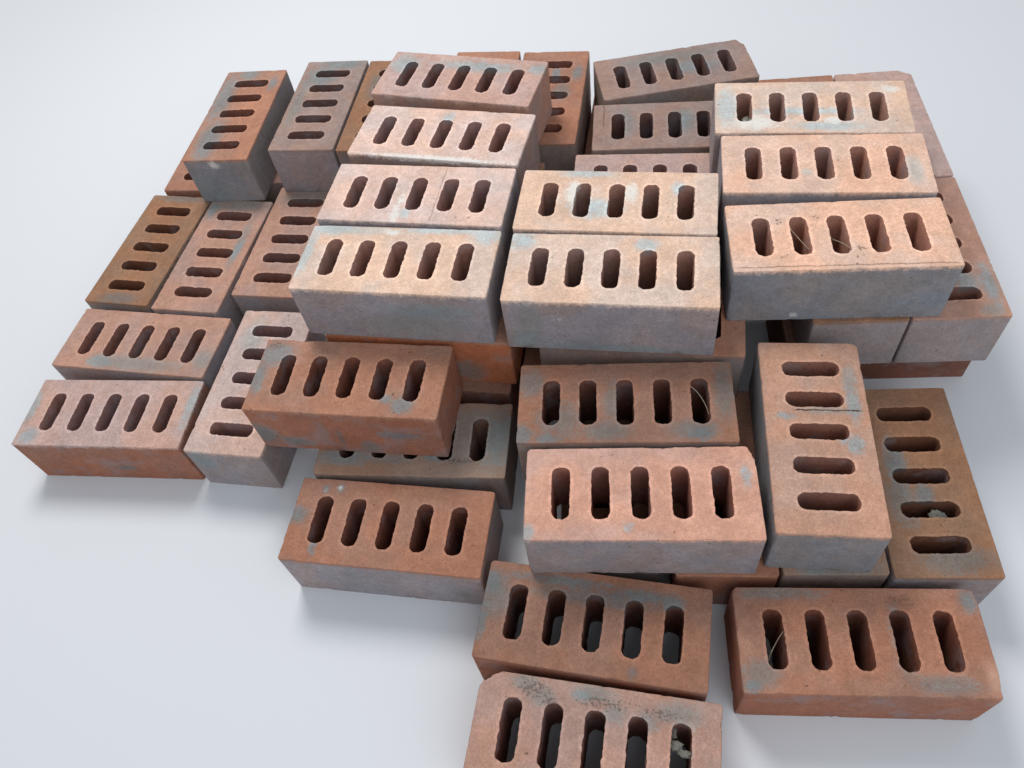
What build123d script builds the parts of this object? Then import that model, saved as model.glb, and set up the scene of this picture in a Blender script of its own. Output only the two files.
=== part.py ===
"""A loose stack of perforated facing bricks, laid dry in three courses on a level floor.

Every brick is the same: a fired clay block with five slots through it from bed to bed.
A stretcher lies with its length from left to right, a header with its length from front to
back. The layout's own zero is the middle of the front edge of the top course's middle block,
+X to the right and +Y to the back. At the end every brick is moved so that the origin is the
middle of the whole stack's footprint, at floor level.
"""
from build123d import *
import os

os.makedirs("parts", exist_ok=True)

# One brick, in millimetres
brick_length = 203.0
brick_width = 92.0
brick_height = 70.0
corner_bevel = 3.0
slot_count = 5
slot_pitch = 34.8
slot_width = 15.5
slot_length = 50.0
slot_corner = 4.5
broken_corner_length = 18.0
broken_corner_width = 14.0

# Laying, in millimetres and degrees. The second gap is the open joint between the second
# course's two middle stretchers, the left row stands that far out past the block in front of
# it, and the corner is where headers and stretchers meet at the back.
joint = 4.0
tight_joint = 1.0
second_gap = 28.0
left_row_shift = 36.0
corner = 35.0
front_block_turn = 6.3
right_block_turn = 6.5

half_length = brick_length / 2
half_width = brick_width / 2
long_step = brick_length + joint
short_step = brick_width + joint
left_edge = -brick_length - 1.5 * brick_width - 5

STRETCHER = 0
HEADER = 90


def make_brick(broken=False):
    """One brick standing on the floor, centred on the origin, its length along X."""
    with BuildPart() as body:
        with BuildSketch() as bed:
            Rectangle(brick_length, brick_width)
            chamfer(bed.vertices(), corner_bevel)
            if broken:
                with Locations((-half_length, half_width)):
                    Polygon((0, 0), (broken_corner_length, 0), (0, -broken_corner_width),
                            align=None, mode=Mode.SUBTRACT)
            with BuildSketch(mode=Mode.PRIVATE) as slot:
                Rectangle(slot_width, slot_length)
                chamfer(slot.vertices(), slot_corner)
            with GridLocations(slot_pitch, 0, slot_count, 1):
                add(slot.sketch, mode=Mode.SUBTRACT)
        extrude(amount=brick_height)
    return body.part


# Node name to the places of the bricks in it
layout = {}


def lay(node, course, x, y, lie, shift=(0, 0), turn=0, block=Location()):
    """Lay one brick in a course counted from 1.

    x and y are where its middle belongs in its block, shift is how far off that it was put
    down by hand, and turn is how far it is askew.
    """
    place = Location((x + shift[0], y + shift[1], (course - 1) * brick_height), (0, 0, lie + turn))
    layout.setdefault(node, []).append(block * place)


def lay_middle():
    """The middle block: two stretchers side by side in each course, row behind row."""
    for row in range(3):
        node = "base_inner" if row else "base_middle"
        lay(node, 1, -half_length, half_width + row * short_step, STRETCHER, (1, -11))
        lay("base_inner", 1, half_length + 2 * joint, 0.75 * brick_width + row * short_step, STRETCHER)
    right = half_length + second_gap
    lay("second_middle_1", 2, -half_length, half_width, STRETCHER, (7, 1))
    lay("second_middle_2", 2, right, half_width, STRETCHER, (7, 2))
    lay("second_inner", 2, right, half_width + short_step, STRETCHER, (7, 2))
    for row in (1, 2):
        lay("second_inner", 2, -half_length, half_width + row * short_step, STRETCHER, (4, 1))
    lay("top_middle_1", 3, -half_length, half_width, STRETCHER, (-8, 0))
    lay("top_middle_2", 3, half_length, half_width, STRETCHER, (4, -1), 1)
    lay("top_middle_3", 3, -half_length, half_width + short_step, STRETCHER, (-9, 2), -1)
    lay("top_middle_4", 3, half_length, half_width + short_step, STRETCHER, (1, -2))
    lay("top_middle_5", 3, -half_length, half_width + 2 * short_step, STRETCHER, (-4, 8), -5)
    lay("top_middle_6", 3, -half_length, half_width + 3 * short_step + 4 * joint, STRETCHER,
        (-5, 5), -7.5)


def lay_right():
    """The right block, turned as a whole: headers on a bed of stretchers, three bricks on top."""
    block = Location((1.5 * long_step - 9, short_step / 2, 0), (0, 0, right_block_turn))
    for row in range(4):
        lay(f"base_right_{row + 1}", 1, short_step, (row + 0.8) * short_step, STRETCHER, (-4, 1),
            block=block)
    node = 0
    for row in range(2):
        for column in range(2):
            node += 1
            lay(f"second_right_{node}", 2, half_width + column * (brick_width + tight_joint),
                half_length + row * (brick_length + tight_joint), HEADER, (0, 1), block=block)
    x = short_step / 4
    lay("top_right_1", 3, x, half_width + joint, STRETCHER, (-5, 1), -1, block)
    lay("top_right_2", 3, x, half_width + short_step + 3 * joint, STRETCHER, (0, 0.5), -4.5, block)
    lay("top_right_3", 3, x, half_width + 2 * short_step + 3 * joint, STRETCHER, (2, -1.5), -5.5, block)


def lay_front_right():
    """The block in front on the right: four headers carry two stretchers and a header."""
    block = Location((brick_length - 1.5 * brick_width - 5, 2 * joint, 0), (0, 0, front_block_turn))
    shifts = ((-6, 7), (2, -3), (0, -1), (-2, -4))
    for column, shift in enumerate(shifts):
        lay(f"base_front_right_{column + 1}", 1, (column + 0.5) * short_step, -half_length - 3 * joint,
            HEADER, shift, block=block)
    lay("base_corner", 1, 1.5 * short_step + joint + half_length,
        -brick_length - half_width - 6 * joint, STRETCHER, block=block)
    header = 2 * short_step - 2 * joint
    back = -half_width - 7 * joint
    lay("second_front_1", 2, header - 6 * joint - half_length, back, STRETCHER, (1, 0), -0.5, block)
    lay("second_front_2", 2, header - 3 * joint - half_length, back - short_step, STRETCHER,
        (-0.5, 0), block=block)
    lay("second_front_3", 2, header + half_width, -half_length, HEADER, (-0.5, -9), -3, block)


def lay_front():
    """The loose front of the base course, and the brick that lies askew on it."""
    lay("base_front_1", 1, -half_length, -half_width - 7 * joint, STRETCHER, (10, -2), 4)
    lay("base_front_2", 1, -half_length, -half_width - short_step - 8 * joint, STRETCHER, (7, -3), 1)
    lay("base_front_3", 1, half_length + 3 * joint, -brick_length - half_width, STRETCHER, (1, 0), -1.5)
    lay("base_broken", 1, half_length + 6 * joint, -brick_length - half_width - short_step, STRETCHER,
        (-1, -2), -1)
    lay("second_left", 2, -half_length - half_width - joint, -half_width, STRETCHER, (0, -7), 1.5)


def lay_left():
    """The left end: a header and two stretchers on the floor, and three headers behind them."""
    lay("base_left_end", 1, left_edge + half_width, brick_width - half_length, HEADER, (1, -5), 0.5)
    lay("base_left_front_1", 1, left_edge - 3 * joint - half_length, half_width - 4 * joint,
        STRETCHER, (-2, -2), -1)
    lay("base_left_front_2", 1, left_edge - joint - half_length, -half_width - 7 * joint,
        STRETCHER, (-3, -1), 4)
    row = left_edge - left_row_shift
    lay("base_left_1", 1, row - 1.5 * brick_width, brick_width + half_length, HEADER, (-3, -7), -2)
    lay("base_left_2", 1, row - half_width, brick_width + half_length, HEADER, (1, -13), -1)
    lay("base_left_3", 1, row + half_width, brick_width + half_length + 4 * joint, HEADER, (5, 1), 0.5)


def lay_back():
    """The back: a row of headers on the floor, and headers and stretchers on it."""
    x = corner - 1.5 * brick_width - 6
    y = 3.35 * short_step + half_length
    for column in range(4):
        lay(f"base_back_{column + 1}", 1, x + column * short_step, y, HEADER)
    lay("second_back_1", 2, x, y, HEADER, turn=0.5)
    lay("second_back_2", 2, corner - half_width, y, HEADER, (0, -2), 1)
    lay("second_back_3", 2, corner + half_length, 2.7 * short_step, STRETCHER, (6, 0), 2.5)
    lay("second_back_4", 2, corner + 3 * joint + half_length, 3.75 * short_step, STRETCHER, (7, 1), 4)
    lay("second_back_5", 2, corner + 3 * joint + half_length, 5 * short_step, STRETCHER, (1, -1), 15)


def lay_back_left():
    """The back left corner: headers on the floor, and three more on them."""
    x = corner - 5.5 * brick_width - 9 * joint - 6
    y = brick_width + 6 * joint + 1.5 * brick_length
    lay("base_back_left_1", 1, x, y - 5 * joint, HEADER, turn=2)
    shifts = ((-26, -24), (-6, -1), (-7, 0))
    turns = (3.5, 2, 2)
    for column in range(3):
        x += short_step
        lay(f"base_back_left_{column + 2}", 1, x, y, HEADER, turn=1)
        lay(f"second_back_left_{column + 1}", 2, x, y - 4 * joint, HEADER, shifts[column], turns[column])


lay_middle()
lay_right()
lay_front_right()
lay_front()
lay_left()
lay_back()
lay_back_left()

whole_brick = make_brick()
broken_brick = make_brick(broken=True)


def brick_for(node):
    """Only the brick in front has a broken corner."""
    return broken_brick if node == "base_broken" else whole_brick


# The origin goes to the middle of the footprint
laid = Compound([brick_for(node).moved(place) for node, places in layout.items() for place in places])
middle = laid.bounding_box().center()
to_origin = Location((-middle.X, -middle.Y, 0))

for node, places in layout.items():
    with BuildPart() as bricks:
        with Locations(*[to_origin * place for place in places]):
            add(brick_for(node))
    bricks.part.label = node
    export_step(bricks.part, f"parts/{node}.step")
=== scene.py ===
"""The looks of a loose stack of perforated clay bricks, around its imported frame.

Each brick of the frame is replaced by a modelled one. They all start from the same mesh, which
is worn by noise with a seed for each brick, and carry the colours, stains and marks that the
photograph shows.
"""
import math
import random

import bpy
import numpy as np
from mathutils import Matrix, Vector, geometry, noise


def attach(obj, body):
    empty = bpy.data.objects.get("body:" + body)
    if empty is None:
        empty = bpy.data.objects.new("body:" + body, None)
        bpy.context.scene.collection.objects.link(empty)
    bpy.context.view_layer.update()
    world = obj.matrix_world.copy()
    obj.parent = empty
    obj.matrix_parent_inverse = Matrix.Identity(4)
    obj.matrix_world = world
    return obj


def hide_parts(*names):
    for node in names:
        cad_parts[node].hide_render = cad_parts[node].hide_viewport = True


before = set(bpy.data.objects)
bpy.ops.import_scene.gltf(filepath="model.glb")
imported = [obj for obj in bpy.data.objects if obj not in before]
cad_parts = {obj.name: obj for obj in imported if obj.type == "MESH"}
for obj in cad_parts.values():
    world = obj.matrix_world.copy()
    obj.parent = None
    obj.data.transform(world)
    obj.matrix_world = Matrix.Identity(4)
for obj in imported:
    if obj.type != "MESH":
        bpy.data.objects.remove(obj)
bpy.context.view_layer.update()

MM = 0.001

# Camera, as the photograph was taken, in pixels, millimetres, metres and degrees
IMAGE_WIDTH = 1024
FOCAL_PIXELS = 791.2
SENSOR_WIDTH = 36.0
CAMERA_PLACE = (0.2003, -0.5621, 0.7603)
CAMERA_DOWN = 53.45
CAMERA_ROLL = -10.8
CAMERA_HEADING = 18.0
CAMERA_CLIP = 0.01

# Shape of one brick, in millimetres
FACE_INSET = 0.1
CORNER_ROUND = 4.0
ARRIS_ROUND = 0.9
RIM_ROUND = 0.6
EDGE_BAND = 0.9
SLOT_COUNT = 5
SLOT_PITCH = 34.8
SLOT_WIDTH = 15.5
SLOT_LENGTH = 50.0
SLOT_ROUND = 6.6
STRAND_RADIUS = 0.4

# How fine its mesh is, in millimetres, counts and degrees
OUTLINE_STEP = 3.6
SLOT_STEP = 1.9
BED_STEP = 5.5
BED_ROW = 0.866 * BED_STEP
OUTLINE_CLEARANCE = 3.4
SLOT_CLEARANCE = 3.0
WELD = 1e-4
LEAST_ARC_STEPS = 4
ROUNDING_STEPS = 2
WALL_LEVELS = 9
SLOT_LEVELS = 5
LUMP_LEVELS = 9
LUMP_AROUND = 13
STRAND_STEPS = 10
STRAND_AROUND = 5
SMOOTH_ANGLE = 38

# Slope below which a CAD face is a flank, and the cosine that tells right from back
UPRIGHT = 0.1
DIAGONAL = 0.7

# What a vertex of the brick belongs to
BED, FLANK, SLOT = range(3)


def srgb(red, green, blue):
    """A colour as it reads in a picture, 0 to 255, as the shader needs it."""
    def linear(value):
        value /= 255
        return value / 12.92 if value <= 0.04045 else ((value + 0.055) / 1.055) ** 2.4
    return (linear(red), linear(green), linear(blue), 1.0)


# Where the bricks lie

def solids(mesh):
    """The faces of each separate brick in a CAD node's mesh."""
    places = [tuple(round(value, 6) for value in vertex.co) for vertex in mesh.vertices]
    joined = {place: place for place in places}

    def root(place):
        while joined[place] != place:
            place = joined[place]
        return place

    for face in mesh.polygons:
        first = root(places[face.vertices[0]])
        for index in face.vertices:
            joined[root(places[index])] = first
    groups = {}
    for face in mesh.polygons:
        groups.setdefault(root(places[face.vertices[0]]), []).append(face)
    return list(groups.values())


def brick_pose(mesh, faces):
    """Middle of the underside, direction of the length and size of one brick, in metres.

    The direction is to the right for a stretcher and to the back for a header.
    """
    corners = np.array([mesh.vertices[index].co for face in faces for index in face.vertices])
    # The fourth power makes all four flanks of a brick point the same way
    spin = 0j
    for face in faces:
        if abs(face.normal.z) < UPRIGHT:
            spin += face.area * complex(face.normal.x, face.normal.y) ** 4
    angle = math.atan2(spin.imag, spin.real) / 4
    spans = []
    for turn in (angle, angle + math.pi / 2):
        along = corners[:, 0] * math.cos(turn) + corners[:, 1] * math.sin(turn)
        spans.append((along.max() - along.min(), turn))
    angle = max(spans)[1]
    to_right, to_back = math.cos(angle), math.sin(angle)
    if to_right < -DIAGONAL or (abs(to_right) <= DIAGONAL and to_back < 0):
        angle += math.pi
    axis = np.array([math.cos(angle), math.sin(angle)])
    side = np.array([-axis[1], axis[0]])
    along, across = corners[:, :2] @ axis, corners[:, :2] @ side
    middle = axis * (along.max() + along.min()) / 2 + side * (across.max() + across.min()) / 2
    low, high = corners[:, 2].min(), corners[:, 2].max()
    size = (along.max() - along.min(), across.max() - across.min(), high - low)
    return Vector((middle[0], middle[1], low)), angle, size


# The mesh that every brick starts from

def rounded_loop(length, width, radius, step):
    """Points and outward directions round a rounded rectangle, anticlockwise."""
    points, normals = [], []
    quarter_turn = math.pi / 2
    arc_steps = max(LEAST_ARC_STEPS, round(radius * quarter_turn / step) + 1)
    for quarter, (sx, sy) in enumerate(((1, 1), (-1, 1), (-1, -1), (1, -1))):
        centre = np.array([sx * (length / 2 - radius), sy * (width / 2 - radius)])
        for k in range(arc_steps + 1):
            angle = quarter_turn * (quarter + k / arc_steps)
            normal = np.array([math.cos(angle), math.sin(angle)])
            points.append(centre + radius * normal)
            normals.append(normal)
        run = (width if quarter % 2 else length) - 2 * radius
        steps = max(1, round(run / step))
        onward = quarter_turn * (quarter + 1)
        direction = np.array([-math.sin(onward), math.cos(onward)])
        start = points[-1]
        for k in range(1, steps):
            points.append(start + direction * run * k / steps)
            normals.append(normals[-1].copy())
    return np.array(points), np.array(normals)


def inside_rounded(points, length, width, radius):
    """How far points lie inside a rounded rectangle, negative outside."""
    away = np.abs(points) - np.array([length / 2 - radius, width / 2 - radius])
    outside = np.linalg.norm(np.maximum(away, 0), axis=1)
    return radius - outside - np.minimum(np.max(away, axis=1), 0)


def inside_loop(points, loop):
    """Which points lie inside a convex loop that runs anticlockwise."""
    edges = np.roll(loop, -1, 0) - loop
    away = points[:, None] - loop[None]
    return (edges[:, 0] * away[..., 1] - edges[:, 1] * away[..., 0] > 0).all(1)


def slot_centres():
    """Where the slots' middles lie along the brick."""
    return [(k - (SLOT_COUNT - 1) / 2) * SLOT_PITCH for k in range(SLOT_COUNT)]


class BrickShape:
    """The brick before wear, in millimetres, standing on z = 0 with its length along x.

    Each vertex has a place, an anchor, which is the same place before the arrises were rounded,
    and a zone, which says what it belongs to.
    """

    def __init__(self, length, width, height):
        self.size = np.array([length, width, height])
        self.vertices = []
        self.anchors = []
        self.zone = []
        self.faces = []
        outline = rounded_loop(length, width, CORNER_ROUND, OUTLINE_STEP)
        slot = rounded_loop(SLOT_LENGTH, SLOT_WIDTH, SLOT_ROUND, SLOT_STEP)
        outer = self.wall(outline, ARRIS_ROUND, -1, WALL_LEVELS, FLANK)
        slots = []
        for centre in slot_centres():
            turned = np.stack([-slot[0][:, 1] + centre, slot[0][:, 0]], 1)
            normals = np.stack([-slot[1][:, 1], slot[1][:, 0]], 1)
            slots.append(self.wall((turned, normals), RIM_ROUND, 1, SLOT_LEVELS, SLOT))
        self.bed(outer[0], [rings[0] for rings in slots], True)
        self.bed(outer[-1], [rings[-1] for rings in slots], False)
        self.vertices = np.array(self.vertices)
        self.anchors = np.array(self.anchors)
        self.zone = np.array(self.zone, float)

    def wall(self, loop, rounding, side, levels, zone):
        """Rings from the top bed down to the lower one, with rounded arrises.

        The side is -1 on the brick's outline, where rounding goes inward, and 1 in a slot.
        """
        points, normals = loop
        height = self.size[2]
        profile = [(rounding + EDGE_BAND, 0)]
        for k in range(ROUNDING_STEPS + 1):
            angle = math.pi / 2 * k / ROUNDING_STEPS
            profile.append((rounding * (1 - math.sin(angle)), rounding * (1 - math.cos(angle))))
        sections = [(inset, height - drop) for inset, drop in profile]
        for k in range(1, levels):
            sections.append((0.0, height - rounding - (height - 2 * rounding) * k / levels))
        sections += [(inset, drop) for inset, drop in reversed(profile)]
        rings = []
        for inset, level in sections:
            first = len(self.vertices)
            for point, normal in zip(points, normals):
                x, y = point + side * inset * normal
                self.add_vertex(x, y, level, zone, point)
            rings.append(list(range(first, first + len(points))))
        for upper, lower in zip(rings, rings[1:]):
            for k in range(len(upper)):
                after = (k + 1) % len(upper)
                face = (upper[k], lower[k], lower[after], upper[after])
                self.faces.append(face if side < 0 else face[::-1])
        return rings

    def add_vertex(self, x, y, level, zone, anchor):
        """A vertex, with the point that it had before its arris was rounded."""
        self.vertices.append((x, y, level))
        self.anchors.append((anchor[0], anchor[1], level))
        self.zone.append(zone)

    def bed(self, outer, holes, top):
        """A flat bed between the outline and the slots; the top one has a net of points in it."""
        rims = [outer] + holes
        index = [i for rim in rims for i in rim]
        flat = [Vector(self.vertices[i][:2]) for i in index]
        edges, start = [], 0
        for rim in rims:
            count = len(rim)
            edges += [(start + k, start + (k + 1) % count) for k in range(count)]
            start += count
        level = self.vertices[outer[0]][2]
        if top:
            for point in self.net():
                index.append(len(self.vertices))
                self.add_vertex(point[0], point[1], level, BED, point)
                flat.append(Vector(point))
        triangles, origins = geometry.delaunay_2d_cdt(flat, edges, [], 0, WELD)[2:4]
        place = np.array([flat[o[0]] for o in origins])
        middles = place[np.array([list(triangle) for triangle in triangles])].mean(1)
        keep = np.ones(len(triangles), bool)
        for hole in holes:
            keep &= ~inside_loop(middles, np.array([self.vertices[i][:2] for i in hole]))
        for triangle, kept in zip(triangles, keep):
            if not kept:
                continue
            face = [index[origins[k][0]] for k in triangle]
            a, b, c = (np.array(self.vertices[k][:2]) for k in face)
            up = (b[0] - a[0]) * (c[1] - a[1]) - (b[1] - a[1]) * (c[0] - a[0]) > 0
            self.faces.append(tuple(face if up == top else face[::-1]))

    def net(self):
        """Points in staggered rows over the bed, clear of every rim."""
        length, width = self.size[0], self.size[1]
        rows = int(width / BED_ROW)
        count = int(length / BED_STEP)
        points = []
        for row in range(rows + 1):
            y = (row / rows - 0.5) * width
            for k in range(count + 1):
                points.append(((k + 0.5 * (row % 2)) * length / count - length / 2, y))
        points = np.array(points)
        inside = inside_rounded(points, length, width, CORNER_ROUND)
        clear = inside > ARRIS_ROUND + OUTLINE_CLEARANCE
        for centre in slot_centres():
            from_slot = points - np.array([centre, 0])
            inside = inside_rounded(from_slot, SLOT_WIDTH, SLOT_LENGTH, SLOT_ROUND)
            clear &= inside < -(RIM_ROUND + SLOT_CLEARANCE)
        return points[clear]


# Wear of a brick: sizes of the noise's features and depths, in millimetres, largest first
LEAST_BEVEL = 0.5
WORN_BEVEL = 0.5
KNOCK_SIZES = (15, 6)
KNOCK_SHARE = 0.6
KNOCK_LEVEL = 0.3
KNOCK_DEPTH = 3.4
RAGGED_SIZE = 6
RAGGED_DEPTH = 1.1
CUT_RAGGED = 1.4
CUT_SHARE = 0.5
CORNER_DEPTHS = (0.3, 1.4)
BROKEN_CORNERS = 0.12
BROKEN_DEPTHS = (0.8, 2)
CORNER_SLANTS = (0.5, 1)
WAVE_SIZES = (55, 8)
WAVE_DEPTHS = (0.35, 0.25)
WAVE_BAND = 0.5
TEAR_SIZES = (11, 3.0)
TEAR_DEPTHS = (0.45, 0.85)
TEAR_MEAN = 0.35
TEAR_STRETCH = 0.2
TOP_BAND = 4
SINK_SIZE = 7
SINK_DEPTH = 0.2
RIM_SINK_DEPTH = 0.5

# How noise changes with its seed and with its octaves
SEED_STEPS = (13.7, 7.3, 3.1)
OCTAVE_FADE = 0.6
OCTAVE_STEP = 2.0


def rough(points, size, seed, octaves=1):
    """Smooth noise from about -1 to 1 at each point, with features of a size in millimetres."""
    shift = Vector([seed * step for step in SEED_STEPS])
    if octaves == 1:
        return np.array([noise.noise(Vector(p) / size + shift) for p in points])
    return np.array([noise.fractal(Vector(p) / size + shift, OCTAVE_FADE, OCTAVE_STEP, octaves)
                     for p in points])


def cut_back(local, point, normal, depth=0.0):
    """Move whatever stands beyond a plane back to it, and say how far each vertex moved."""
    normal = np.array(normal, float)
    normal /= np.linalg.norm(normal)
    beyond = np.maximum((local - np.array(point)) @ normal + depth, 0)
    local -= beyond[:, None] * normal
    return beyond


def knock_arrises(local, plain, half, walls, seed, wear):
    """A fine bevel everywhere, with knocks here and there, and how far each vertex moved."""
    coarse, fine = (rough(plain, size, seed + 2 + k) for k, size in enumerate(KNOCK_SIZES))
    knocks = np.maximum(coarse + KNOCK_SHARE * fine - KNOCK_LEVEL, 0)
    bevel = LEAST_BEVEL + wear * (WORN_BEVEL + KNOCK_DEPTH * knocks)
    knocked = np.zeros(len(local))
    for first, second in ((0, 2), (1, 2), (0, 1)):
        near = (half[first] - np.abs(local[:, first])) + (half[second] - np.abs(local[:, second]))
        push = np.maximum(bevel - near, 0) / 2 * ~walls
        knocked += push
        for axis in (first, second):
            local[:, axis] -= np.sign(local[:, axis]) * push
    return knocked


def break_corners(local, plain, half, seed, style, knocked):
    """Break each corner a little and some of them more, and add the style's own cuts."""
    chance = random.Random(seed)
    ragged = RAGGED_DEPTH * rough(plain, RAGGED_SIZE, seed + 8, 2)
    for corner in range(8):
        signs = np.array([1 if corner & bit else -1 for bit in (1, 2, 4)])
        depth = chance.uniform(*CORNER_DEPTHS)
        depth += (chance.random() < BROKEN_CORNERS) * chance.uniform(*BROKEN_DEPTHS)
        direction = signs * np.array([chance.uniform(*CORNER_SLANTS) for _ in range(3)])
        knocked += cut_back(local, signs * half, direction, depth * style["wear"] + ragged)
    for point, normal in style["cuts"]:
        from_middle = np.array(point) - np.array([0, 0, half[2]])
        knocked += CUT_SHARE * cut_back(local, from_middle, normal, CUT_RAGGED * ragged)


def wave_flanks(local, plain, half, flanks, seed):
    """Make the flanks a little wavy, inward only."""
    wavy = sum(depth * (rough(plain, size, seed + number) + 1) / 2
               for number, (size, depth) in enumerate(zip(WAVE_SIZES, WAVE_DEPTHS)))
    for axis in (0, 1):
        face = flanks & (half[axis] - np.abs(plain[:, axis]) < WAVE_BAND)
        local[face, axis] -= np.sign(local[face, axis]) * wavy[face]


def tear_slots(local, anchors, walls, seed):
    """Make the slots ragged, as the clay tore where it left the die, more along than across."""
    drawn = anchors * np.array([1, 1, TEAR_STRETCH])
    fine = TEAR_DEPTHS[1] * rough(drawn, TEAR_SIZES[1], seed + 4)
    coarse = TEAR_DEPTHS[0] * rough(anchors, TEAR_SIZES[0], seed + 5)
    torn = fine + coarse + TEAR_MEAN
    for middle in slot_centres():
        mine = walls & (np.abs(anchors[:, 0] - middle) < SLOT_PITCH / 2)
        away = anchors[mine, :2] - np.array([middle, 0])
        away[:, 1] *= SLOT_WIDTH / SLOT_LENGTH
        away /= np.maximum(np.linalg.norm(away, axis=1), 1e-6)[:, None]
        local[mine, :2] += away * torn[mine][:, None]


def sink_top(local, plain, half, walls, seed):
    """Shallow hollows in the top bed, deeper along the slots' rims."""
    top = plain[:, 2] > half[2] - TOP_BAND
    hollows = np.maximum(rough(plain[top] * np.array([1, 1, 0]), SINK_SIZE, seed + 6, 2), 0)
    sink = (SINK_DEPTH + RIM_SINK_DEPTH * walls[top]) * hollows
    local[top, 2] -= sink * (1 - (half[2] - plain[top, 2]) / TOP_BAND)


def worn(shape, seed, style):
    """The brick's vertices after moulding, firing and knocks, and how far knocks moved each.

    Nothing ever moves outside the plain box.
    """
    half = shape.size / 2
    centre = np.array([0, 0, half[2]])
    plain, anchors = shape.vertices - centre, shape.anchors - centre
    flanks, walls = shape.zone == FLANK, shape.zone == SLOT
    local = plain.copy()
    knocked = knock_arrises(local, plain, half, walls, seed, style["wear"])
    break_corners(local, plain, half, seed, style, knocked)
    wave_flanks(local, plain, half, flanks, seed)
    tear_slots(local, anchors, walls, seed)
    sink_top(local, plain, half, walls, seed)
    limit = half - FACE_INSET
    return np.clip(local, -limit, limit) + centre, knocked


def make_mesh(name, points, faces):
    """A mesh that is smooth but for its sharp edges."""
    mesh = bpy.data.meshes.new(name)
    mesh.from_pydata(points.tolist(), [], faces)
    mesh.shade_smooth()
    mesh.set_sharp_from_angle(angle=math.radians(SMOOTH_ANGLE))
    mesh.update()
    return mesh


def paint(mesh, name, kind, values):
    """Give each vertex a value that the material reads by name."""
    field = {"FLOAT": "value", "FLOAT_VECTOR": "vector", "FLOAT_COLOR": "color"}[kind]
    attribute = mesh.attributes.new(name, kind, "POINT")
    attribute.data.foreach_set(field, np.asarray(values, np.float32).ravel())


# Clay colours, as they read in a picture. The bed colours carry painted light over the clay's own
# colour: the pale peach and pink of the top course are painted sunlight, the warm peach and
# apricot of two second-course bricks keep some of it, and the tones of the lower courses are
# darker and bluer with painted shade
PEACH = srgb(228, 192, 172)
PALE_PEACH = srgb(219, 194, 178)
WARM_PEACH = srgb(205, 163, 147)
PINK = srgb(216, 192, 183)
PALE_ROSE = srgb(198, 175, 168)
ROSE = srgb(190, 162, 154)
SALMON = srgb(178, 144, 131)
APRICOT = srgb(190, 153, 135)
ORANGE = srgb(170, 128, 109)
TERRACOTTA = srgb(165, 122, 103)
OCHRE = srgb(150, 115, 92)
BROWN = srgb(150, 112, 95)
# A dirty tan, made darker still with painted shade
DIRTY_AND_SHADED = srgb(160, 134, 118)
GREY_TAN = srgb(155, 134, 127)
# The next three colours, mostly for flanks, are sand-faced sides greyed and darkened with painted
# shade
MAUVE = srgb(160, 152, 156)
SLATE = srgb(143, 143, 148)
TAN = srgb(148, 133, 127)
RED_BROWN = srgb(162, 113, 94)
BRIGHT_ORANGE = srgb(188, 114, 80)
DARK_RED = srgb(128, 88, 76)
FRESH_CLAY = srgb(206, 166, 146)

# What lies on the clay or is sunk in it
LIME = srgb(222, 223, 218)
LUMP = srgb(122, 124, 116)
STRAW = srgb(176, 164, 144)
BURNT_SPECK = srgb(96, 70, 60)
CRACK = srgb(86, 64, 56)
CRUMB = srgb(96, 83, 74)

# Tones that the clay's colour is multiplied by: painted shade on the slot walls, and paler torn
# clay at the rims
SLOT_SHADE_TONE = (0.58, 0.46, 0.46, 1.0)
RIM_TONE = (1.3, 1.3, 1.32, 1)

# Noise in the clay: features to a metre, detail and roughness
NOISES = {
    "hue": (15.0, 3.0, 0.55),
    "cloud": (24.0, 4.0, 0.6),
    "blotch": (34.0, 4.0, 0.6),
    "patch": (52.0, 2.0, 0.6),
    "medium": (115.0, 4.0, 0.68),
    "grit": (360.0, 3.0, 0.7),
    "fine": (950.0, 2.0, 0.7),
}
SPECK_SCALE = 140.0
# How a noise shades the clay: the range that counts, and the tones at its two ends
SHADES = (
    ("cloud", 0.34, 0.68, (0.91, 0.9, 0.89, 1), (1.06, 1.05, 1.04, 1)),
    ("hue", 0.4, 0.62, (1.05, 0.97, 0.9, 1), (0.95, 1.0, 1.04, 1)),
    ("medium", 0.3, 0.72, (0.9, 0.89, 0.88, 1), (1.08, 1.08, 1.08, 1)),
    ("grit", 0.3, 0.7, (0.9, 0.89, 0.88, 1), (1.08, 1.08, 1.08, 1)),
    ("fine", 0.3, 0.75, (0.86, 0.85, 0.84, 1), (1.13, 1.13, 1.13, 1)),
)
# Dirt that the clay shows through: its channel, its tone and how much it covers
FILMS = (("Red", (0.88, 0.88, 0.83, 1.0), 0.72), ("Green", (0.85, 0.99, 1.02, 1.0), 0.8))
# How much the other stains and marks cover
LIME_COVER = 0.75
BLOTCH_COVER = 0.35
FRESH_COVER = 0.75
SPECK_COVER = 0.65
CRUMB_COVER = 0.75
# Where the clay's zones and marks begin and are whole, for the ramps
BED_SLOPE = (0.5, 0.85)
CREEP_RANGE = (-4.0, 1.5)
SLOT_RANGE = (0.7, 0.9)
RIM_RANGE = (0.5, 0.95)
BLOTCH_RANGE = (0.5, 0.66)
STAIN_RANGE = (0.1, 0.85)
STAIN_EDGE = (0.03, 0.4)
SPECK_RANGE = (0.36, 0.26)
SPECK_PATCHES = (0.6, 0.68)
CRACK_RANGE = (1.0, 0.35)
CRUMB_RANGE = (0.15, 0.7)
CRUMB_EDGE = (0.02, 0.3)
# How far noise moves their edges: the value it counts from, and its strength
CREEP_NOISE = (0.8, 8.0)
STAIN_NOISE = (1.0, 1.2)
CRACK_NOISE = (0.5, 5.0)
CRUMB_NOISE = (0.62, 4.0)
SPECK_NOISE = 0.3
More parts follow.
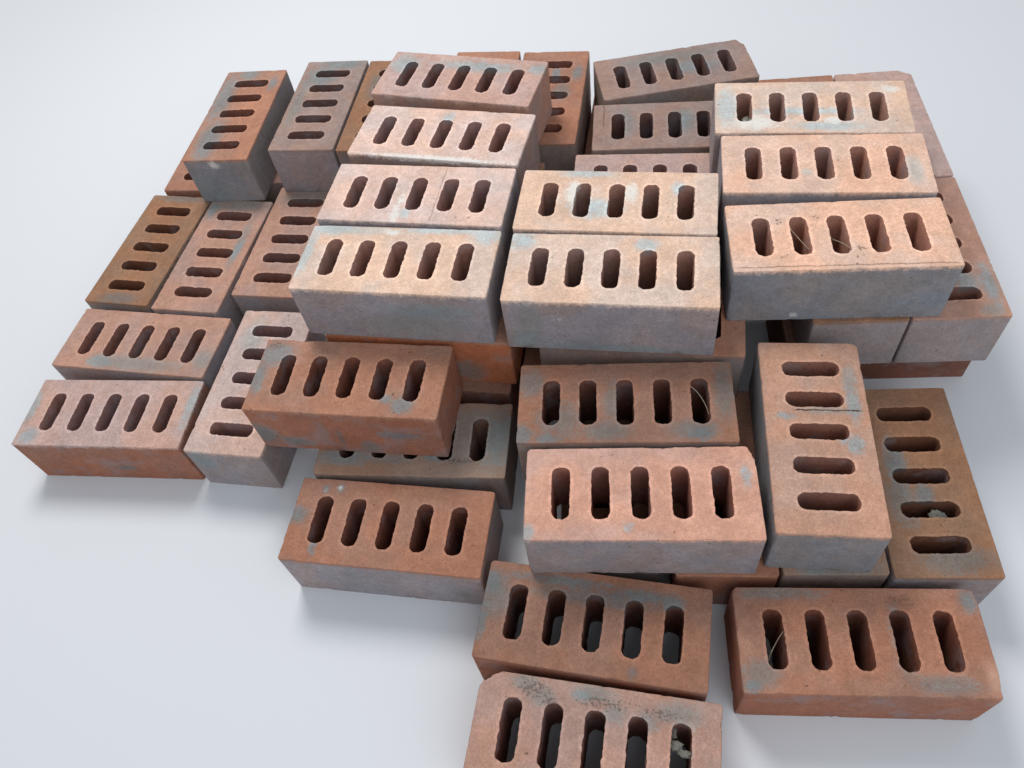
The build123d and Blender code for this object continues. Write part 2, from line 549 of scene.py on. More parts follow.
# Height of each kind of relief, as shares of the bump's depth
GRIT_HEIGHT = 0.5
MEDIUM_HEIGHT = 0.7
BED_SAND_HEIGHT = 0.25
FLANK_SAND_HEIGHT = 0.5
SPECK_HEIGHT = 0.6
CRUMB_HEIGHT = 0.7
BUMP_STRENGTH = 0.5
BUMP_DEPTH = 0.0011
LEAST_ROUGHNESS = 0.8
ROUGHNESS_RANGE = 0.18
SPECULAR = 0.2


class Nodes:
    """Short ways to add and join shader nodes in a material or a world."""

    def __init__(self, owner):
        owner.use_nodes = True
        self.tree = owner.node_tree
        self.tree.nodes.clear()

    def add(self, kind, **settings):
        """A new node with its sockets and settings given by name."""
        node = self.tree.nodes.new(kind)
        for name, value in settings.items():
            self.put(node, name, value)
        return node

    def put(self, node, name, value):
        """Join or set a socket, by its name or number, or else a setting of the node."""
        if isinstance(name, str) and name not in node.inputs:
            setattr(node, name, value)
        elif isinstance(value, bpy.types.NodeSocket):
            self.tree.links.new(value, node.inputs[name])
        else:
            node.inputs[name].default_value = value

    def attribute(self, name, output):
        return self.add("ShaderNodeAttribute", attribute_name=name).outputs[output]

    def noise(self, vector, scale, detail, roughness):
        return self.add("ShaderNodeTexNoise", Vector=vector, Scale=scale, Detail=detail,
                        Roughness=roughness).outputs["Fac"]

    def maths(self, operation, *values):
        node = self.add("ShaderNodeMath", operation=operation)
        for index, value in enumerate(values):
            self.put(node, index, value)
        return node.outputs[0]

    def plus(self, first, second):
        return self.maths("ADD", first, second)

    def minus(self, first, second):
        return self.maths("SUBTRACT", first, second)

    def times(self, first, second):
        return self.maths("MULTIPLY", first, second)

    def spread(self, value, middle, strength):
        """Noise counted from a middle value and made stronger."""
        return self.times(self.minus(value, middle), strength)

    def ramp(self, value, low, high):
        """A smooth step from 0 at low to 1 at high."""
        return self.add("ShaderNodeMapRange", **{
            "Value": value, "From Min": low, "From Max": high,
            "interpolation_type": "SMOOTHSTEP"}).outputs[0]

    def blend(self, amount, first, second, mode="MIX"):
        """A mix of two colours; the socket numbers are the colour ones of this node."""
        node = self.add("ShaderNodeMix", data_type="RGBA", blend_type=mode)
        for index, value in ((0, amount), (6, first), (7, second)):
            self.put(node, index, value)
        return node.outputs[2]

    def tint(self, colour, tone):
        """One colour multiplied by another."""
        return self.blend(1.0, colour, tone, "MULTIPLY")

    def blend_shaders(self, amount, first, second):
        node = self.add("ShaderNodeMixShader")
        for index, value in enumerate((amount, first.outputs[0], second.outputs[0])):
            self.put(node, index, value)
        return node.outputs[0]


def body_colour(n, grain):
    """The colour of the bare clay, and how much of a flank each place is.

    Beds have one colour, flanks another with the bed's creeping over the arris, slots a third.
    The flanks' greyer colour is sand-faced clay with painted shade, chosen by the way a face
    points.
    """
    clay, side = n.attribute("clay", "Color"), n.attribute("side", "Fac")
    normal = n.add("ShaderNodeNewGeometry").outputs["True Normal"]
    normal = n.add("ShaderNodeSeparateXYZ", Vector=normal)
    # Which way a face points picks bed or flank colour: the flank colour carries painted shade
    level = n.ramp(n.maths("ABSOLUTE", normal.outputs["Z"]), *BED_SLOPE)
    creep = n.spread(n.plus(grain["medium"], grain["grit"]), *CREEP_NOISE)
    creep = n.ramp(n.minus(creep, n.attribute("below", "Fac")), *CREEP_RANGE)
    on_bed = n.maths("MAXIMUM", level, creep)
    in_slot = n.times(n.ramp(side, *SLOT_RANGE), n.minus(1.0, level))
    colour = n.blend(on_bed, n.attribute("flank", "Color"), clay)
    # The slot walls are darkened with painted shade
    colour = n.blend(in_slot, colour, n.tint(clay, SLOT_SHADE_TONE))
    # The slots' rims are paler, where the clay tore
    rim = n.times(n.ramp(side, *RIM_RANGE), n.times(level, grain["grit"]))
    colour = n.blend(rim, colour, n.tint(colour, RIM_TONE))
    for name, low, high, dark, light in SHADES:
        colour = n.tint(colour, n.blend(n.ramp(grain[name], low, high), dark, light))
    return colour, n.minus(1.0, on_bed)


def stained(n, grain, colour, flank):
    """The clay with blotches on its flanks, fresh breaks, films of dirt and white lime."""
    blotch = n.times(n.ramp(grain["blotch"], *BLOTCH_RANGE), flank)
    colour = n.blend(n.times(blotch, BLOTCH_COVER), colour, SLATE)
    fresh = n.attribute("stain", "Alpha")
    colour = n.blend(n.times(fresh, FRESH_COVER), colour, FRESH_CLAY)
    masks = n.add("ShaderNodeSeparateColor", Color=n.attribute("stain", "Color"))
    ragged = n.spread(n.plus(grain["medium"], grain["grit"]), *STAIN_NOISE)

    def cover(channel, most):
        mask = masks.outputs[channel]
        amount = n.times(n.ramp(n.plus(mask, ragged), *STAIN_RANGE), most)
        return n.times(amount, n.ramp(mask, *STAIN_EDGE))

    for channel, film, most in FILMS:
        grey = n.add("ShaderNodeRGBToBW", Color=colour).outputs[0]
        colour = n.blend(cover(channel, most), colour, n.tint(grey, film))
    return n.blend(cover("Blue", LIME_COVER), colour, LIME)


def marked(n, grain, place, colour):
    """The clay with its specks, crack and crumbs, and how strongly each of these lies there."""
    cells = n.add("ShaderNodeTexVoronoi", Vector=place, Scale=SPECK_SCALE).outputs["Distance"]
    speck = n.ramp(n.plus(cells, n.times(grain["grit"], SPECK_NOISE)), *SPECK_RANGE)
    speck = n.times(speck, n.ramp(grain["patch"], *SPECK_PATCHES))
    colour = n.blend(n.times(speck, SPECK_COVER), colour, BURNT_SPECK)
    # The crack attribute is the distance from its line, its strength, and the crumbs
    reading = n.add("ShaderNodeSeparateXYZ", Vector=n.attribute("crack", "Vector"))
    wander = n.spread(grain["medium"], *CRACK_NOISE)
    line = n.maths("ABSOLUTE", n.plus(reading.outputs["X"], wander))
    line = n.times(n.ramp(line, *CRACK_RANGE), reading.outputs["Y"])
    colour = n.blend(line, colour, CRACK)
    dark = reading.outputs["Z"]
    crumbs = n.plus(n.spread(grain["grit"], *CRUMB_NOISE), dark)
    crumbs = n.times(n.ramp(crumbs, *CRUMB_RANGE), n.ramp(dark, *CRUMB_EDGE))
    colour = n.blend(n.times(crumbs, CRUMB_COVER), colour, CRUMB)
    return colour, (speck, line, crumbs)


def relief(n, grain, flank, marks):
    """The height of the surface: fine on beds, sandy on flanks, with marks sunk or raised."""
    speck, line, crumbs = marks
    height = n.plus(n.times(grain["grit"], GRIT_HEIGHT), n.times(grain["medium"], MEDIUM_HEIGHT))
    sand = n.plus(BED_SAND_HEIGHT, n.times(flank, FLANK_SAND_HEIGHT))
    height = n.plus(height, n.times(grain["fine"], sand))
    height = n.minus(height, n.plus(n.times(speck, SPECK_HEIGHT), line))
    return n.plus(height, n.times(crumbs, CRUMB_HEIGHT))


def clay_material():
    """Fired clay: its colours and stains come from the mesh, its grain and pits from noise."""
    material = bpy.data.materials.new("fired_clay")
    n = Nodes(material)
    place = n.attribute("grain", "Vector")
    grain = {name: n.noise(place, *settings) for name, settings in NOISES.items()}
    colour, flank = body_colour(n, grain)
    colour = stained(n, grain, colour, flank)
    colour, marks = marked(n, grain, place, colour)
    bump = n.add("ShaderNodeBump", Strength=BUMP_STRENGTH, Distance=BUMP_DEPTH,
                 Height=relief(n, grain, flank, marks))
    dull = n.plus(LEAST_ROUGHNESS, n.times(grain["medium"], ROUGHNESS_RANGE))
    shader = n.add("ShaderNodeBsdfPrincipled", Roughness=dull, Normal=bump.outputs[0])
    n.put(shader, "Base Color", colour)
    n.put(shader, "Specular IOR Level", SPECULAR)
    n.put(n.add("ShaderNodeOutputMaterial"), "Surface", shader.outputs[0])
    return material


# A flank colour is the sides' sand-faced clay with painted shade; a bed colour carries painted
# sunlight or shade by course
def look(bed, flank=MAUVE, wear=0.8, stains=(), cuts=(), crack=(), lumps=(), strands=()):
    """How one brick looks; places are in millimetres along and across it from its middle.

    A stain is a kind, a face, its place on that face and its two sizes. A cut is a point and
    the outward direction of a broken face. A crack is its two ends and its strength. A lump is
    a place in or on the brick and its three sizes. A strand is the three places that it bends
    through, from one slot wall to another.
    """
    return {"bed": bed, "flank": flank, "wear": wear, "stains": stains, "cuts": cuts,
            "crack": crack, "lumps": lumps, "strands": strands}


# Kinds of stain, which the material reads in this order as red, green, blue and alpha of one
# attribute and as the crumbs of another, and the faces that they lie on
STAIN_KINDS = 5
GREY, BLUE, PALE, FRESH, DARK = range(STAIN_KINDS)
TOP, FRONT, LEFT = "top", "front", "left"

LOOKS = {
    # Top course, its pale bed colours lightened with painted sunlight
    "top_middle_1": look(PALE_PEACH, MAUVE, 0.8, (
        (BLUE, TOP, -85, 42, 30, 12), (BLUE, TOP, -97, 8, 7, 40), (GREY, TOP, -45, 40, 45, 7),
        (BLUE, TOP, 45, 43, 50, 6), (BLUE, TOP, 88, 38, 18, 14), (PALE, TOP, -14, 38, 10, 5),
        (BLUE, FRONT, 40, 45, 45, 12), (GREY, FRONT, 20, 22, 60, 18))),
    "top_middle_2": look(PALE_PEACH, MAUVE, 0.7, (
        (BLUE, TOP, -90, 35, 14, 14), (BLUE, TOP, 32, 32, 13, 10), (BLUE, FRONT, -80, 15, 20, 14),
        (BLUE, FRONT, 0, 5, 100, 6), (GREY, FRONT, -75, 40, 13, 30),
        (PALE, FRONT, -48, 50, 4, 4))),
    "top_middle_3": look(PINK, MAUVE, 0.6, (
        (PALE, TOP, -16, -32, 4.5, 16), (PALE, TOP, -14, -12, 4, 10), (BLUE, TOP, -6, -30, 7, 8)),
        crack=(24, -44, 24, 44, 0.35)),
    "top_middle_4": look(PALE_PEACH, MAUVE, 0.6, (
        (BLUE, TOP, -20, -12, 32, 16), (PALE, TOP, -45, 12, 9, 18), (BLUE, TOP, -35, 41, 30, 7),
        (PALE, TOP, 14, 12, 7, 16), (BLUE, TOP, 62, 20, 8, 12))),
    "top_middle_5": look(PINK, GREY_TAN, 0.7, (
        (PALE, TOP, 10, -43, 90, 4), (BLUE, TOP, 0, 30, 8, 10))),
    "top_middle_6": look(ROSE, SALMON, 0.7, (
        (BLUE, TOP, 15, 25, 60, 12), (BLUE, TOP, 92, 28, 12, 12), (BLUE, TOP, -80, 20, 20, 20))),
    "top_right_1": look(PEACH, SLATE, 0.9, (
        (PALE, FRONT, -38, 10, 4, 4), (DARK, TOP, -52, 20, 5, 8), (DARK, TOP, -18, 24, 6, 4),
        (DARK, TOP, 17, -20, 5, 9), (DARK, TOP, -52, -28, 6, 5)), crack=(-97, -40, 99, -41, 0.5),
        strands=(((8.6, -19, 67), (8, -4, 62), (-8.6, 6, 60)),
                 ((-43.4, 16, 67), (-36, 12, 58), (-26.2, -10, 60)))),
    "top_right_2": look(PEACH, MAUVE, 0.7, (
        (GREY, TOP, 84, -12, 9, 26), (GREY, TOP, -18, -14, 6, 6))),
    "top_right_3": look(PALE_PEACH, MAUVE, 0.7, (
        (BLUE, TOP, -88, 0, 14, 36), (PALE, TOP, -58, -28, 26, 12), (BLUE, TOP, -10, -8, 70, 7),
        (BLUE, TOP, 15, -34, 40, 9), (PALE, TOP, 20, -24, 10, 7), (PALE, TOP, 84, 30, 9, 6)),
        lumps=((-66, -17, 62, 6, 6, 5), (-70, -22, 58, 5, 4, 4))),
    # Second course, its bed colours darkened with painted shade
    "second_middle_1": look(ORANGE, BRIGHT_ORANGE, 0.8, ((GREY, FRONT, 50, 20, 20, 20),)),
    "second_middle_2": look(TERRACOTTA, GREY_TAN, 0.8),
    "second_left": look(ORANGE, RED_BROWN, 0.9, (
        (BLUE, TOP, -85, 26, 22, 18), (BLUE, TOP, -96, -5, 8, 26), (BLUE, TOP, 64, -30, 12, 12),
        (BLUE, TOP, 45, -24, 8, 5), (BLUE, FRONT, -92, 25, 16, 20), (BLUE, FRONT, -60, 14, 22, 9),
        (BLUE, FRONT, 56, 37, 24, 7), (GREY, FRONT, -8, 26, 3, 16), (GREY, FRONT, 20, 14, 10, 12),
        (DARK, TOP, -90, 38, 14, 7))),
    "second_front_1": look(BROWN, TAN, 0.9, (
        (GREY, TOP, -60, -20, 25, 22), (BLUE, TOP, -96, -36, 11, 13), (BLUE, TOP, -72, -40, 16, 6),
        (GREY, TOP, -18, -32, 26, 12), (GREY, TOP, 60, -32, 26, 11), (BLUE, TOP, 68, -36, 12, 8),
        (GREY, TOP, 92, 10, 10, 36), (GREY, TOP, -90, 22, 15, 18), (GREY, TOP, -12, 0, 8, 28)),
        strands=(((61, 19, 67.5), (74, 14, 60), (78.2, -10, 58)),)),
    "second_front_2": look(WARM_PEACH, MAUVE, 1.1, (
        (BLUE, TOP, 91, 16, 4, 13), (BLUE, TOP, -11, -33, 5, 6), (BLUE, TOP, -98, -38, 6, 9)),
        cuts=(((101, 30, 67), (1, 0.35, 0.3)), ((101, 40, 66), (1, 0.9, 0.2)))),
    "second_front_3": look(APRICOT, SLATE, 1.1, (
        (GREY, TOP, 23, -8, 5, 30), (BLUE, TOP, 16, 26, 4, 11), (BLUE, TOP, -12, -29, 12, 8),
        (BLUE, TOP, 30, -33, 22, 7), (GREY, TOP, 60, -33, 18, 7), (BLUE, TOP, -5, -20, 7, 7)),
        crack=(23, -38, 23, 18, 1.0)),
    "second_back_2": look(TERRACOTTA, TAN, 0.8, (
        (BLUE, TOP, 50, -34, 17, 7), (GREY, TOP, 8, -16, 20, 14), (BLUE, TOP, 50, -5, 16, 7))),
    "second_back_3": look(ROSE, MAUVE, 0.8),
    "second_back_4": look(GREY_TAN, TAN, 0.8, (
        (GREY, TOP, -60, 10, 10, 30), (BLUE, TOP, 8, 8, 18, 24)), crack=(-88, 0, -88, 46, 0.6)),
    "second_back_5": look(GREY_TAN, TAN, 1.0, (
        (GREY, TOP, 0, 26, 80, 12), (BLUE, TOP, 25, 0, 36, 18)),
        cuts=(((100, 30, 70), (1, 0.5, 0.2)),)),
    "second_back_left_1": look(ORANGE, SLATE, 0.9, (
        (BLUE, TOP, -60, 22, 50, 17), (BLUE, TOP, 40, 32, 60, 15), (BLUE, TOP, 92, 10, 15, 18),
        (BLUE, TOP, 70, -33, 20, 6), (PALE, LEFT, 5, 62, 8, 6), (BLUE, LEFT, 20, 20, 25, 25))),
    "second_back_left_2": look(GREY_TAN, MAUVE, 1.0, (
        (BLUE, TOP, 62, 14, 26, 26), (BLUE, TOP, 92, -10, 13, 36), (GREY, TOP, 0, 34, 60, 9))),
    "second_back_left_3": look(OCHRE, TAN, 0.9, ((GREY, TOP, 40, 20, 40, 16),)),
    "second_right_1": look(OCHRE, MAUVE, 0.9, ((GREY, TOP, -70, 20, 30, 20),)),
    "second_right_2": look(SALMON, MAUVE, 0.9, (
        (BLUE, TOP, -55, -15, 18, 12), (BLUE, TOP, -60, -36, 30, 7),
        (GREY, TOP, -92, -30, 9, 12))),
    "second_right_3": look(TERRACOTTA, MAUVE, 0.9),
    "second_right_4": look(ROSE, MAUVE, 1.1, cuts=(((101, -30, 70), (1, -0.6, 0.3)),)),
    # Base course, its bed colours darkened with painted shade
    "base_left_1": look(OCHRE, TAN, 0.8, (
        (GREY, TOP, 97, 0, 9, 40), (GREY, TOP, -92, 0, 10, 30))),
    "base_left_2": look(SALMON, MAUVE, 0.8, (
        (GREY, TOP, 20, -29, 55, 7), (GREY, TOP, 92, 0, 13, 45), (BLUE, TOP, 80, 36, 18, 8),
        (BLUE, TOP, 5, -30, 20, 5))),
    "base_left_3": look(SALMON, MAUVE, 0.8, ((GREY, TOP, 80, 0, 20, 40),)),
    "base_left_front_1": look(SALMON, MAUVE, 0.8, (
        (GREY, TOP, 10, -33, 65, 12), (GREY, TOP, 90, -20, 13, 16),
        (BLUE, TOP, -42, -33, 16, 11))),
    "base_left_front_2": look(ROSE, RED_BROWN, 0.8, (
        (BLUE, TOP, -85, -33, 12, 11), (BLUE, TOP, 96, 10, 6, 36), (BLUE, TOP, -97, 4, 6, 28),
        (BLUE, FRONT, 16, 24, 14, 4))),
    "base_left_end": look(PALE_ROSE, MAUVE, 0.8, (
        (GREY, TOP, 62, 20, 30, 16), (BLUE, LEFT, 30, 50, 14, 20))),
    "base_front_1": look(DIRTY_AND_SHADED, TAN, 0.9, (
        (GREY, TOP, 60, 5, 45, 40), (BLUE, TOP, 90, 0, 16, 40), (BLUE, TOP, -70, -25, 32, 11),
        (BLUE, TOP, 30, -22, 20, 6), (GREY, TOP, -20, -26, 30, 7), (DARK, TOP, 50, -26, 40, 5))),
    "base_front_2": look(TERRACOTTA, MAUVE, 0.9, (
        (BLUE, TOP, -96, 3, 12, 10), (BLUE, TOP, -69, -31, 4, 12), (BLUE, TOP, -58, 36, 4, 7),
        (BLUE, TOP, -74, 34, 4, 6), (PALE, TOP, -58, 36, 1.6, 4), (PALE, TOP, -74, 34, 1.4, 3),
        (GREY, FRONT, 80, 25, 10, 11), (GREY, FRONT, -32, 45, 9, 16))),
    "base_front_3": look(BROWN, RED_BROWN, 0.9, (
        (BLUE, TOP, -30, 34, 68, 4), (BLUE, TOP, 42, 30, 34, 6), (BLUE, TOP, 66, 28, 13, 9),
        (BLUE, TOP, -96, 24, 10, 13), (BLUE, TOP, -99, -12, 5, 18), (GREY, TOP, -90, 10, 18, 22),
        (GREY, TOP, 38, -38, 5, 7), (GREY, TOP, 0, 22, 60, 8))),
    "base_broken": look(SALMON, RED_BROWN, 1.2, (
        (GREY, TOP, -62, 40, 14, 7), (GREY, TOP, -46, 30, 12, 9), (GREY, TOP, 15, 24, 12, 9),
        (GREY, TOP, 42, 22, 12, 9), (GREY, TOP, 68, 32, 20, 11), (GREY, TOP, 72, 0, 7, 12),
        (GREY, TOP, -2, 39, 20, 6), (BLUE, TOP, -12, 35, 9, 5), (DARK, TOP, -55, 36, 18, 10),
        (DARK, TOP, -38, 27, 10, 7), (DARK, TOP, 5, 31, 26, 7), (DARK, TOP, 52, 30, 22, 5),
        (DARK, TOP, -73, 22, 6, 5)),
        cuts=(((-83.5, 46, 35), (-14, 18, 0)),),
        lumps=((65.5, 9, 63, 5.5, 4, 1.8), (73, 4, 63, 6, 3, 1.6), (63.5, 19, 62, 2.4, 4.5, 1.6))),
    "base_corner": look(TERRACOTTA, RED_BROWN, 1.3, (
        (BLUE, TOP, 93, 34, 8, 11), (GREY, TOP, -86, -30, 18, 13), (BLUE, TOP, -92, -40, 9, 6),
        (GREY, TOP, 32, 0, 8, 36), (GREY, TOP, -60, 40, 40, 6), (GREY, TOP, 60, -36, 28, 8),
        (FRESH, TOP, 97, -30, 5, 14), (DARK, TOP, 40, 34, 20, 5)),
        cuts=(((101.5, -35, 66), (1, -0.2, 0.5)),),
        strands=(((-61, 8, 66), (-69, 0, 54), (-78.2, -20, 52)),)),
    "base_front_right_1": look(OCHRE, TAN, 0.8),
    "base_front_right_2": look(TERRACOTTA, RED_BROWN, 0.8),
    "base_front_right_3": look(DIRTY_AND_SHADED, TAN, 0.8, (
        (GREY, TOP, -95, 0, 12, 40), (BLUE, TOP, -90, 20, 12, 14))),
    "base_front_right_4": look(OCHRE, MAUVE, 0.8, (
        (GREY, TOP, -30, 22, 28, 14), (BLUE, TOP, 12, 20, 32, 10), (BLUE, TOP, -20, 2, 16, 9),
        (GREY, TOP, -84, -10, 16, 36)),
        lumps=((-38, -8, 60, 6, 7, 5),)),
    "base_middle": look(BROWN, DARK_RED, 0.8),
    "base_right_1": look(BROWN, DARK_RED, 0.9),
}

# Clay of the bricks that have no look of their own
TONES = (TERRACOTTA, ORANGE, BROWN, OCHRE, SALMON)
FLANK_TONES = (RED_BROWN, TAN, MAUVE)
PLAIN_WEAR = 0.9

# What the clay's material reads from each vertex
READINGS = {
    "clay": "FLOAT_COLOR", "flank": "FLOAT_COLOR", "stain": "FLOAT_COLOR", "side": "FLOAT",
    "below": "FLOAT", "crack": "FLOAT_VECTOR", "grain": "FLOAT_VECTOR"}

# How far a stain reaches round an arris, and the knocks that show fresh clay, in millimetres
STAIN_REACH = 7
FRESH_KNOCK = 1.6
FRESH_RANGE = 2

# Bumps of a lump: their height and size as shares of its radius, and their octaves
LUMP_BUMPS = 0.6
LUMP_BUMP_SIZE = 0.5
LUMP_OCTAVES = 3

# Seeds: the step between the bricks of one node, and from a brick's wear to its look
SOLID_SEEDS = 500
LOOK_SEED = 100
# How far, in metres, a brick's piece of the grain may lie from the next one's
GRAIN_REACH = 5


def stain_on(points, size, stain):
    """How strongly a stain lies at each point, 1 in its middle and less away from it."""
    _, face, along, across, size_along, size_across = stain
    x, y, z = points.T
    first, second, off = {
        TOP: (x, y, size[2] - z),
        FRONT: (x, z, y + size[1] / 2),
        LEFT: (y, z, x + size[0] / 2)}[face]
    far = (((first - along) / size_along) ** 2 + ((second - across) / size_across) ** 2
           + (off / STAIN_REACH) ** 2)
    return np.exp(-far)


def stain_masks(points, size, stains):
    """The strongest stain of each kind at each point."""
    masks = np.zeros((len(points), STAIN_KINDS))
    for stain in stains:
        kind = stain[0]
        masks[:, kind] = np.maximum(masks[:, kind], stain_on(points, size, stain))
    return masks


def crack_reading(points, height, crack, dark):
    """Distance from the crack's line, its strength, and the dark crumbs at each point."""
    reading = np.zeros((len(points), 3))
    if crack:
        first, last = np.array(crack[:2]), np.array(crack[2:4])
        run = last - first
        reach = (points[:, :2] - first) @ run / (run @ run)
        across = points[:, :2] - first - reach[:, None] * run
        reading[:, 0] = (run[0] * across[:, 1] - run[1] * across[:, 0]) / np.linalg.norm(run)
        within = (reach > 0) & (reach < 1) & (points[:, 2] > height - TOP_BAND)
        reading[:, 1] = within * crack[4]
    reading[:, 2] = dark
    return reading


def circle(around):
    """Angles all the way round, for a ring of so many points."""
    return 2 * math.pi * np.arange(around) / around


def add_tube(points, faces, zone, rings):
    """Add a closed skin over rings of points, with a flat cap at each end."""
    first, around = len(points), len(rings[0])
    for ring in range(len(rings) - 1):
        low = first + ring * around
        for k in range(around):
            after = (k + 1) % around
            faces.append((low + k, low + after, low + around + after, low + around + k))
    faces.append(tuple(range(first + around - 1, first - 1, -1)))
    faces.append(tuple(range(first + (len(rings) - 1) * around, first + len(rings) * around)))
    return np.vstack([points] + rings), np.append(zone, np.full(around * len(rings), float(BED)))


def add_lump(points, faces, zone, lump, seed):
    """Add a small rough piece of dirt to the brick's vertices and faces."""
    place, radii = np.array(lump[:3]), np.array(lump[3:])
    turns = circle(LUMP_AROUND)
    rings = []
    for level in range(LUMP_LEVELS):
        rise = math.pi * (1 - (level + 0.5) / LUMP_LEVELS)
        ball = np.stack([math.sin(rise) * np.cos(turns), math.sin(rise) * np.sin(turns),
                         np.full(LUMP_AROUND, math.cos(rise))], 1)
        swell = 1 + LUMP_BUMPS * rough(ball, LUMP_BUMP_SIZE, seed, LUMP_OCTAVES)
        rings.append(ball * radii * swell[:, None] + place)
    return add_tube(points, faces, zone, rings)


def add_strand(points, faces, zone, bends):
    """Add a thin straw through three places to the brick's vertices and faces."""
    start, middle, end = (np.array(bend, float) for bend in bends)
    turns = circle(STRAND_AROUND)[:, None]
    rings = []
    for step in range(STRAND_STEPS + 1):
        t = step / STRAND_STEPS
        place = (1 - t) ** 2 * start + 2 * t * (1 - t) * middle + t ** 2 * end
        along = 2 * (1 - t) * (middle - start) + 2 * t * (end - middle)
        side = np.cross(along, (0, 0, 1))
        side /= np.linalg.norm(side)
        rise = np.cross(side, along) / np.linalg.norm(along)
        rings.append(place + STRAND_RADIUS * (np.cos(turns) * rise + np.sin(turns) * side))
    return add_tube(points, faces, zone, rings)


def dressed_brick(shape, style, pose, seed, chance):
    """One brick's vertices in the row frame, its faces, and what its material reads from it."""
    place, angle, _ = pose
    points, knocked = worn(shape, seed, style)
    faces, zone = list(shape.faces), shape.zone
    lumps_start = len(points)
    for lump in style["lumps"]:
        points, zone = add_lump(points, faces, zone, lump, seed)
    strands_start = len(points)
    for strand in style["strands"]:
        points, zone = add_strand(points, faces, zone, strand)
    clay, flank = (np.tile(style[name], (len(points), 1)) for name in ("bed", "flank"))
    for colours in (clay, flank):
        colours[lumps_start:strands_start] = LUMP
        colours[strands_start:] = STRAW
    height = shape.size[2]
    masks = stain_masks(points, shape.size, style["stains"])
    fresh = np.clip((knocked - FRESH_KNOCK) / FRESH_RANGE, 0, 1)
    masks[:lumps_start, FRESH] = np.maximum(masks[:lumps_start, FRESH], fresh)
    origin = np.array([chance.uniform(0, GRAIN_REACH) for _ in range(3)])
    turn = np.array(Matrix.Rotation(angle, 3, "Z"))
    return points * MM @ turn.T + np.array(place), faces, {
        "clay": clay,
        "flank": flank,
        "stain": masks[:, :DARK],
        "side": zone / SLOT,
        "below": height - points[:, 2],
        "crack": crack_reading(points, height, style["crack"], masks[:, DARK]),
        "grain": points * MM + origin,
    }


def dress(node_name, shape, material, seed):
    """Modelled bricks in the place of a CAD node, one for each of its solids."""
    cad_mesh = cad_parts[node_name].data
    points, faces, readings = [], [], []
    for number, group in enumerate(solids(cad_mesh)):
        own_seed = seed + SOLID_SEEDS * number
        chance = random.Random(own_seed + LOOK_SEED)
        style = LOOKS.get(node_name) or look(
            chance.choice(TONES), chance.choice(FLANK_TONES), PLAIN_WEAR)
        pose = brick_pose(cad_mesh, group)
        brick_points, brick_faces, reading = dressed_brick(shape, style, pose, own_seed, chance)
        start = sum(len(part) for part in points)
        points.append(brick_points)
        faces += [tuple(start + index for index in face) for face in brick_faces]
        readings.append(reading)
    mesh = make_mesh(node_name + "_brick", np.vstack(points), faces)
    for name, kind in READINGS.items():
        paint(mesh, name, kind, np.concatenate([reading[name] for reading in readings]))
    mesh.materials.append(material)
    brick = bpy.data.objects.new(node_name + "_brick", mesh)
    bpy.context.scene.collection.objects.link(brick)
    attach(brick, "root")
    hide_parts(node_name)


def dress_all():
    """Dress every node; the inner ones come last, so the seeds of those that show are fixed."""
    material = clay_material()
    names = sorted(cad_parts, key=lambda name: (name.endswith("inner"), name))
    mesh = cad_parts[names[0]].data
    length, width, height = (round(v / MM, 2) for v in brick_pose(mesh, mesh.polygons)[2])
    inset = 2 * FACE_INSET
    shape = BrickShape(length - inset, width - inset, height - FACE_INSET)
    for seed, name in enumerate(names):
        dress(name, shape, material, seed)


# Studio, in metres, watts and shares of 1
BACKDROP = srgb(221, 224, 229)
FLOOR = srgb(214, 217, 221)
FLOOR_ROUGHNESS = 0.8
FLOOR_REACH = 40.0
FLOOR_FADE = (0.8, 2.3)
SKY = (0.88, 0.92, 0.98, 1)
SKY_STRENGTH = 0.5
LIGHT_TARGET = (0, 0, 0.1)
# Each light's place, size, power and colour
LIGHTS = {
    "key": ((-0.6, 0.9, 1.9), 0.9, 30, (1.0, 0.975, 0.95)),
    "fill": ((0.9, -1.4, 1.6), 1.6, 14, (0.88, 0.94, 1.0)),
}


def add_camera():
    """A camera that was fitted to the corners of the photograph's bricks."""
    down, roll, heading = (math.radians(a) for a in (CAMERA_DOWN, CAMERA_ROLL, CAMERA_HEADING))
    forward = Vector((0, math.cos(down), -math.sin(down)))
    right = Vector((1, 0, 0))
    up = Vector((0, math.sin(down), math.cos(down)))
    rolled_right = math.cos(roll) * right + math.sin(roll) * up
    rolled_up = -math.sin(roll) * right + math.cos(roll) * up
    turn = Matrix.Rotation(heading, 3, "Z")
    columns = [turn @ rolled_right, turn @ rolled_up, turn @ -forward]
    data = bpy.data.cameras.new("camera")
    data.sensor_width = SENSOR_WIDTH
    data.lens = FOCAL_PIXELS / IMAGE_WIDTH * SENSOR_WIDTH
    data.clip_start = CAMERA_CLIP
    camera = bpy.data.objects.new("camera", data)
    bpy.context.scene.collection.objects.link(camera)
    camera.matrix_world = Matrix.Translation(CAMERA_PLACE) @ Matrix(columns).transposed().to_4x4()
    bpy.context.scene.camera = camera


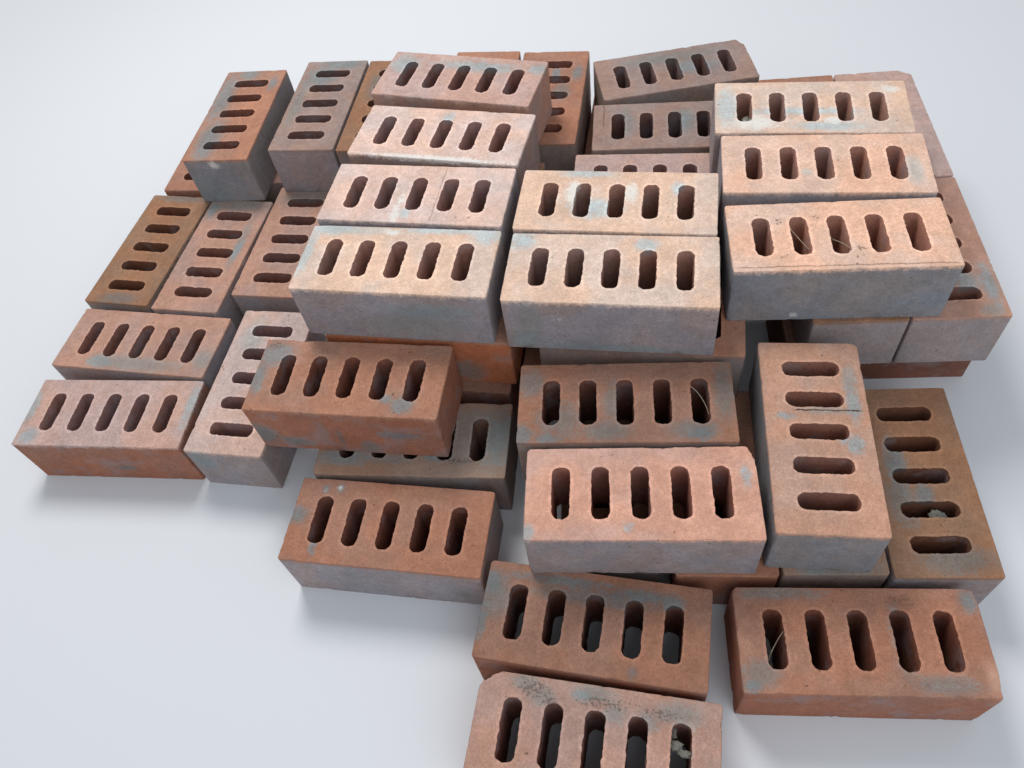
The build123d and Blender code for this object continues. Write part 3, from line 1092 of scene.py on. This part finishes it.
def add_light(name, place, size, power, colour):
    """A round soft light that points at the stack."""
    data = bpy.data.lights.new(name, "AREA")
    data.shape = "DISK"
    data.size = size
    data.energy = power
    data.color = colour
    light = bpy.data.objects.new(name, data)
    bpy.context.scene.collection.objects.link(light)
    light.location = place
    towards = Vector(LIGHT_TARGET) - Vector(place)
    light.rotation_euler = towards.to_track_quat("-Z", "Y").to_euler()


def add_world():
    """Soft light from all round; the camera sees the backdrop in its place."""
    world = bpy.data.worlds.new("studio")
    bpy.context.scene.world = world
    n = Nodes(world)
    sky = n.add("ShaderNodeBackground", Color=SKY, Strength=SKY_STRENGTH)
    backdrop = n.add("ShaderNodeBackground", Color=BACKDROP)
    seen = n.add("ShaderNodeLightPath").outputs["Is Camera Ray"]
    n.put(n.add("ShaderNodeOutputWorld"), "Surface", n.blend_shaders(seen, sky, backdrop))


def add_floor():
    """A pale floor, which the camera sees run into the backdrop far from the stack."""
    mesh = bpy.data.meshes.new("floor")
    mesh.from_pydata([(x * FLOOR_REACH, y * FLOOR_REACH, 0)
                      for x, y in ((-1, -1), (1, -1), (1, 1), (-1, 1))], [], [(0, 1, 2, 3)])
    floor = bpy.data.objects.new("floor", mesh)
    bpy.context.scene.collection.objects.link(floor)
    material = bpy.data.materials.new("floor")
    n = Nodes(material)
    shader = n.add("ShaderNodeBsdfPrincipled", Roughness=FLOOR_ROUGHNESS)
    n.put(shader, "Base Color", FLOOR)
    far = n.add("ShaderNodeVectorMath", operation="LENGTH")
    n.put(far, 0, n.add("ShaderNodeNewGeometry").outputs["Position"])
    seen = n.add("ShaderNodeLightPath").outputs["Is Camera Ray"]
    fade = n.times(n.ramp(far.outputs["Value"], *FLOOR_FADE), seen)
    backdrop = n.add("ShaderNodeEmission", Color=BACKDROP)
    n.put(n.add("ShaderNodeOutputMaterial"), "Surface", n.blend_shaders(fade, shader, backdrop))
    mesh.materials.append(material)


bpy.context.scene.view_settings.view_transform = "Standard"
add_camera()
add_world()
for light_name, settings in LIGHTS.items():
    add_light(light_name, *settings)
add_floor()
dress_all()
